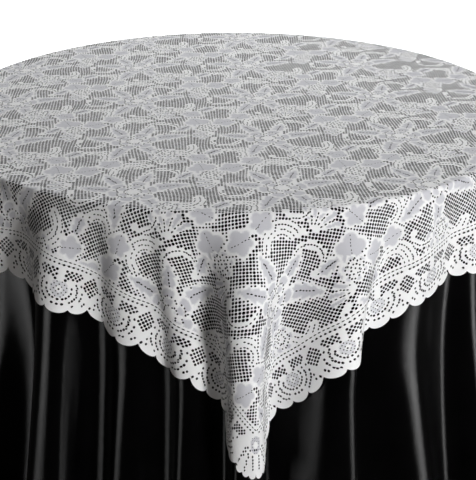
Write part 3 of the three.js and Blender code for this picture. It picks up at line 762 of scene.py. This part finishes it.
def trim_to_edge(x, y, quads, inside):
    """Moves the outermost points onto the scalloped edge."""
    sides = np.stack([quads, np.roll(quads, -1, 1)], -1).reshape(-1, 2)
    sides.sort(axis=1)
    key = sides[:, 0].astype(np.int64) * (len(x) + 1) + sides[:, 1]
    _, first, count = np.unique(key, return_index=True, return_counts=True)
    lone = np.unique(sides[first[count == 1]])
    outer = lone[np.abs(inside[lone]) < 2.2 * HALF_CELL]
    x, y = x.copy(), y.copy()
    step = 1e-4
    for _ in range(3):
        ox, oy = x[outer], y[outer]
        slope_x = (edge_depth(ox + step, oy) - edge_depth(ox - step, oy)) / (2 * step)
        slope_y = (edge_depth(ox, oy + step) - edge_depth(ox, oy - step)) / (2 * step)
        steep = np.maximum(slope_x ** 2 + slope_y ** 2, 0.5)
        move = np.clip(edge_depth(ox, oy) / steep, -HALF_CELL, HALF_CELL)
        x[outer] -= move * slope_x
        y[outer] -= move * slope_y
    return x, y


# ---------------------------------------------------------------- materials
class Look:
    """A material's node tree, built a node at a time."""

    def __init__(self, name, **sockets):
        self.material = bpy.data.materials.new(name)
        self.material.use_nodes = True
        self.nodes = self.material.node_tree.nodes
        self.links = self.material.node_tree.links
        self.shader = self.nodes["Principled BSDF"]
        for socket, value in sockets.items():
            self.shader.inputs[socket.replace("_", " ")].default_value = value

    def add(self, kind, settings=None, **sockets):
        """A new node, with its settings, and its sockets linked or set."""
        node = self.nodes.new("ShaderNode" + kind)
        for name, value in (settings or {}).items():
            setattr(node, name, value)
        for socket, value in sockets.items():
            self.connect(value, node.inputs[socket.replace("_", " ")])
        return node

    def connect(self, value, socket):
        if isinstance(value, bpy.types.NodeSocket):
            self.links.new(value, socket)
        elif isinstance(value, bpy.types.Node):
            self.links.new(value.outputs[0], socket)
        else:
            socket.default_value = value

    def into(self, socket, value):
        self.connect(value, self.shader.inputs[socket])

    def place(self, scale=(1, 1, 1)):
        """Places in the object's own metres."""
        where = self.add("TexCoord").outputs["Object"]
        return self.add("Mapping", Vector=where, Scale=scale).outputs[0]

    def cloth_place(self):
        """Places on the flat cloth, in metres."""
        return self.add("Attribute", {"attribute_name": "flat_cloth"}).outputs["Vector"]

    def noise(self, vector, scale, detail=3.0, roughness=0.5):
        return self.add("TexNoise", Vector=vector, Scale=scale, Detail=detail,
                        Roughness=roughness).outputs[0]

    def wave(self, vector, direction, scale, distortion):
        return self.add("TexWave", {"bands_direction": direction}, Vector=vector, Scale=scale,
                        Distortion=distortion, Detail=1.0).outputs["Fac"]

    def math(self, operation, *values):
        node = self.add("Math", {"operation": operation})
        for value, socket in zip(values, node.inputs):
            self.connect(value, socket)
        return node.outputs[0]

    def vary_roughness(self, value, low, high):
        self.into("Roughness", self.add("MapRange", Value=value, To_Min=low, To_Max=high))

    def ramp(self, value, *stops):
        node = self.add("ValToRGB", Fac=value)
        elements = node.color_ramp.elements
        while len(elements) < len(stops):
            elements.new(0.5)
        for element, (position, colour) in zip(elements, stops):
            element.position = position
            element.color = (*colour, 1)
        return node.outputs[0]

    def bump(self, height, strength, distance, normal=None):
        node = self.add("Bump", Height=height, Strength=strength, Distance=distance)
        if normal is not None:
            self.connect(normal, node.inputs["Normal"])
        return node.outputs[0]


def satin_look(name, drawn_out):
    """Black polyester satin: a fine weave, with a gloss that can be drawn out along the folds."""
    look = Look(name, Roughness=0.36, Anisotropic=drawn_out, Anisotropic_Rotation=0.25,
                Specular_IOR_Level=0.075)
    look.into("Tangent", look.add("Tangent", {"direction_type": "RADIAL", "axis": "Z"}))
    place = look.cloth_place()
    cloudy = look.noise(place, 9, 4)
    look.into("Base Color", look.ramp(cloudy, (0.3, (0.0006, 0.0006, 0.0007)),
                                      (0.7, (0.0014, 0.0013, 0.0015))))
    warp = look.wave(place, "X", 620.0, 0.6)
    weft = look.wave(place, "Y", 420.0, 0.8)
    weave = look.math("MULTIPLY_ADD", weft, 0.35, warp)
    creases = look.bump(look.noise(place, 26, 3), 0.10, 0.004)
    look.into("Normal", look.bump(weave, 0.12, 0.0003, creases))
    look.vary_roughness(cloudy, 0.33, 0.38)
    return look.material


def lace_look():
    """White polyester yarn: dense work bright, sheer work greyer where the dark cloth shows through."""
    look = Look("white_lace_yarn", Roughness=0.72, Sheen_Weight=0.30, Sheen_Roughness=0.5,
                Specular_IOR_Level=0.25)
    place = look.cloth_place()
    density = look.add("Attribute", {"attribute_name": "tone"}).outputs["Fac"]
    # Where the work is sheer, a fine net shows the dark cloth through its meshes.
    gaps = look.math("MULTIPLY", look.wave(place, "X", SHEER_MESHES, 0.7),
                     look.wave(place, "Y", SHEER_MESHES, 0.7))
    see_through = look.math("MULTIPLY_ADD", gaps, -0.16, density)
    cover = look.math("MULTIPLY_ADD", look.noise(place, 34, 4), 0.16, see_through)
    look.into("Base Color", look.ramp(cover, (0.0, (0.53, 0.53, 0.575)), (0.5, (0.74, 0.74, 0.765)),
                                      (0.95, (0.90, 0.90, 0.905))))
    yarn = look.math("MAXIMUM", look.wave(place, "X", 290.0, 1.2), look.wave(place, "Y", 205.0, 1.6))
    raised = look.bump(density, 0.6, 0.0012)
    look.into("Normal", look.bump(yarn, 0.35, 0.0005, raised))
    return look.material


def plywood_look():
    """Birch plywood sealed with varnish, with its grain along one direction."""
    look = Look("plywood", Roughness=0.45)
    place = look.place((2.2, 22, 22))
    grain = look.noise(place, 3.2, 6, 0.62)
    look.into("Base Color", look.ramp(grain, (0.28, (0.42, 0.27, 0.14)), (0.5, (0.60, 0.43, 0.25)),
                                      (0.74, (0.71, 0.55, 0.35))))
    look.vary_roughness(grain, 0.38, 0.58)
    look.into("Normal", look.bump(grain, 0.25, 0.0008))
    return look.material


def runner_look():
    """Planed softwood with long growth rings."""
    look = Look("runner_wood", Roughness=0.6)
    rings = look.add("TexWave", {"bands_direction": "X"}, Vector=look.place((60, 1.6, 26)), Scale=1.1,
                     Distortion=5.0, Detail=4.0, Detail_Scale=1.4)
    look.into("Base Color", look.ramp(rings.outputs["Fac"], (0.1, (0.36, 0.20, 0.09)),
                                      (0.6, (0.62, 0.42, 0.22)), (1.0, (0.70, 0.51, 0.30))))
    look.into("Normal", look.bump(rings.outputs["Fac"], 0.3, 0.0006))
    return look.material


def band_look():
    """Rolled aluminium edge band with fine lines along it and a few rubbed spots."""
    look = Look("edge_band", Metallic=1.0, Roughness=0.34)
    lines = look.noise(look.place((4, 4, 900)), 3, 3)
    rubbed = look.noise(look.place(), 14, 4)
    look.into("Base Color", look.ramp(rubbed, (0.3, (0.62, 0.62, 0.63)), (0.7, (0.74, 0.74, 0.75))))
    look.vary_roughness(rubbed, 0.26, 0.46)
    look.into("Normal", look.bump(lines, 0.2, 0.0003))
    return look.material


def powder_look():
    """Dark grey powder coat with its slight orange-peel texture."""
    look = Look("frame_steel", Roughness=0.42, Coat_Weight=0.15)
    peel = look.noise(look.place(), 420, 2)
    wear = look.noise(look.place(), 18, 5)
    look.into("Base Color", look.ramp(wear, (0.35, (0.030, 0.031, 0.034)),
                                      (0.75, (0.055, 0.056, 0.060))))
    look.vary_roughness(wear, 0.36, 0.52)
    look.into("Normal", look.bump(peel, 0.18, 0.0005))
    return look.material


def zinc_look():
    """Bright zinc plate with a faint passivated tint."""
    look = Look("zinc_steel", Metallic=1.0, Roughness=0.3)
    spangle = look.add("TexVoronoi", Vector=look.place(), Scale=240.0).outputs["Distance"]
    tint = look.noise(look.place(), 60, 3)
    look.into("Base Color", look.ramp(tint, (0.3, (0.55, 0.56, 0.54)), (0.7, (0.72, 0.72, 0.66))))
    look.vary_roughness(spangle, 0.24, 0.42)
    return look.material


def cap_look():
    """Moulded black plastic, matt, scuffed where it meets the floor."""
    look = Look("foot_cap", Roughness=0.7)
    scuff = look.noise(look.place(), 90, 5, 0.65)
    look.into("Base Color", look.ramp(scuff, (0.45, (0.012, 0.012, 0.012)), (0.75, (0.05, 0.05, 0.05))))
    look.into("Normal", look.bump(scuff, 0.3, 0.0004))
    return look.material


def floor_look():
    """Pale studio floor, bright out to the horizon, that throws little light back up at the cloth."""
    look = Look("pale_floor", Roughness=0.9)
    look.into("Base Color", look.ramp(look.noise(look.place(), 2.0, 3), (0.2, (0.90, 0.90, 0.91)),
                                      (0.8, (0.93, 0.93, 0.93))))
    glow = look.add("Emission", Color=(1, 1, 1, 1), Strength=0.75)
    both = look.add("AddShader")
    look.connect(look.shader.outputs[0], both.inputs[0])
    look.connect(glow.outputs[0], both.inputs[1])
    dim = look.add("BsdfDiffuse", Color=(0.16, 0.155, 0.15, 1))
    pick = look.add("MixShader", Fac=look.add("LightPath").outputs["Is Camera Ray"])
    look.connect(dim.outputs[0], pick.inputs[1])
    look.connect(both.outputs[0], pick.inputs[2])
    look.connect(pick.outputs[0], look.nodes["Material Output"].inputs["Surface"])
    return look.material


def dress_frame():
    """Gives every CAD node the look of its material slot."""
    looks = {"plywood": plywood_look(), "runner_wood": runner_look(), "edge_band": band_look(),
             "frame_steel": powder_look(), "zinc_steel": zinc_look(), "foot_cap": cap_look()}
    for part in frame["record"]["subparts"]:
        if part["material_slot"] in looks:
            for slot in frame["nodes"][part["node"]].material_slots:
                slot.material = looks[part["material_slot"]]


# ---------------------------------------------------------------- camera, light and floor
LENS, SENSOR_WIDTH = 83.2, 36   # millimetres
CAMERA_PLACE = (0.012, -2.846, 1.659)
CAMERA_TILT = 65.38             # degrees up from straight down
FLOOR_HALF = 60


def add_camera():
    camera = bpy.data.objects.new("camera", bpy.data.cameras.new("camera"))
    bpy.context.scene.collection.objects.link(camera)
    camera.data.sensor_fit = "HORIZONTAL"
    camera.data.sensor_width = SENSOR_WIDTH
    camera.data.lens = LENS
    camera.location = CAMERA_PLACE
    camera.rotation_euler = (math.radians(CAMERA_TILT), 0, 0)
    bpy.context.scene.camera = camera


def area_light(name, place, target, size, power, colour=(1, 1, 1)):
    lamp = bpy.data.lights.new(name, "AREA")
    lamp.shape, lamp.size, lamp.energy, lamp.color = "SQUARE", size, power, colour
    thing = bpy.data.objects.new(name, lamp)
    thing.location = place
    aim = Vector(target) - Vector(place)
    thing.rotation_euler = aim.to_track_quat("-Z", "Y").to_euler()
    bpy.context.scene.collection.objects.link(thing)
    return thing


def add_surroundings():
    """White to the camera, and dim as a light."""
    scene = bpy.context.scene
    scene.view_settings.view_transform = "Standard"
    scene.world = bpy.data.worlds.new("studio")
    scene.world.use_nodes = True
    nodes, links = scene.world.node_tree.nodes, scene.world.node_tree.links
    seen, room = nodes["Background"], nodes.new("ShaderNodeBackground")
    seen.inputs["Strength"].default_value = 1.0
    seen.inputs["Color"].default_value = room.inputs["Color"].default_value = (1, 1, 1, 1)
    room.inputs["Strength"].default_value = 0.05
    pick = nodes.new("ShaderNodeMixShader")
    links.new(nodes.new("ShaderNodeLightPath").outputs["Is Camera Ray"], pick.inputs["Fac"])
    links.new(room.outputs[0], pick.inputs[1])
    links.new(seen.outputs[0], pick.inputs[2])
    links.new(pick.outputs[0], nodes["World Output"].inputs["Surface"])


def add_lights():
    centre = (0, 0, 0.6)
    key = area_light("key", (2.3, -3.4, 1.3), centre, 0.7, 108)
    fill = area_light("fill", (-1.6, -3.4, 1.2), centre, 0.9, 3, (1.0, 0.86, 0.74))
    key.visible_glossy = fill.visible_glossy = False
    area_light("overhead", (0.7, 0.5, 3.2), centre, 1.8, 31)
    # Low windows at both sides that only show as bands of gloss down the black folds.
    for name, x, y, power in (("window_left", -2.4, -2.4, 130), ("window_right", 2.9, -1.6, 240)):
        window = area_light(name, (x, y, 0.6), (0.15 * x, -0.7, 0.4), 0.95, power)
        window.visible_diffuse = False
    area_light("backdrop", (0, 6.5, 4.0), (0, 7.5, 0), 5.0, 900)


def add_floor():
    mesh = bpy.data.meshes.new("floor")
    half = FLOOR_HALF
    corners = [(-half, -half, 0), (half, -half, 0), (half, half, 0), (-half, half, 0)]
    mesh.from_pydata(corners, [], [(0, 1, 2, 3)])
    floor = bpy.data.objects.new("floor", mesh)
    floor.location.z = -0.0005
    bpy.context.scene.collection.objects.link(floor)
    mesh.materials.append(floor_look())


# ---------------------------------------------------------------- putting it together
add_camera()
add_surroundings()
add_lights()
add_floor()
dress_frame()
drape = Drape()
undercloth = undercloth_mesh(drape, satin_look("black_satin", 0.97),
                             satin_look("black_satin_lying", 0.0))
lace = lace_mesh(drape, lace_look())

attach(undercloth, "undercloth_cloth")
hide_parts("undercloth")

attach(lace, "lace_cloth")
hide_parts("lace_overlay")
